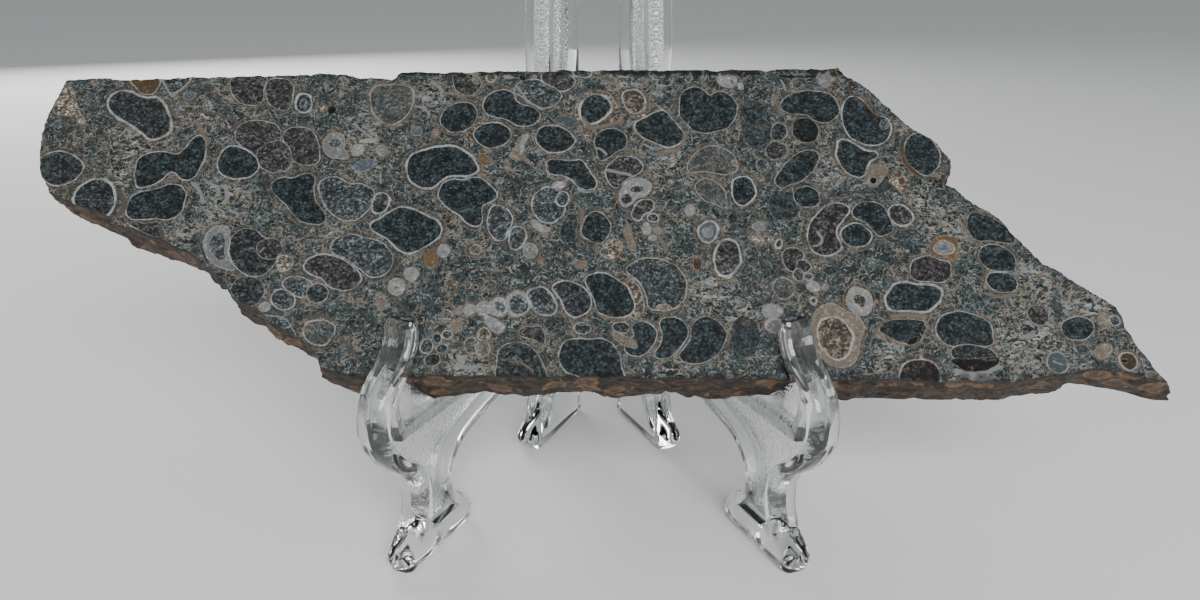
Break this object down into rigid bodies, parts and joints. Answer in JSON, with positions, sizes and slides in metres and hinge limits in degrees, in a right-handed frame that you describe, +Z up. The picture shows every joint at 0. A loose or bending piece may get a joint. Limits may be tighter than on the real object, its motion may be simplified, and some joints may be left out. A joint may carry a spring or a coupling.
{
  "type": "turritella fossil slab on a display easel",
  "caption": "Polished slice of dark fossil rock packed with sectioned spiral shells, leaning on a clear moulded plastic easel.",
  "frame": {"origin": "centre of the footprint's box, on the surface that the easel stands on", "axes": "+X along the slab, to the right as seen from the front; -Y to the front, which the polished face looks to; +Z up"},
  "size_m": [0.2334, 0.0876, 0.127],
  "materials": {
    "fossil_stone": "polished front, sawn back, rough weathered edges",
    "clear_plastic": "clear and glossy, with pebbled sunk panels"
  },
  "bodies": {
    "root": {"slab": "fossil_stone", "left_frame": "clear_plastic", "right_frame": "clear_plastic"}
  },
  "joints": []
}
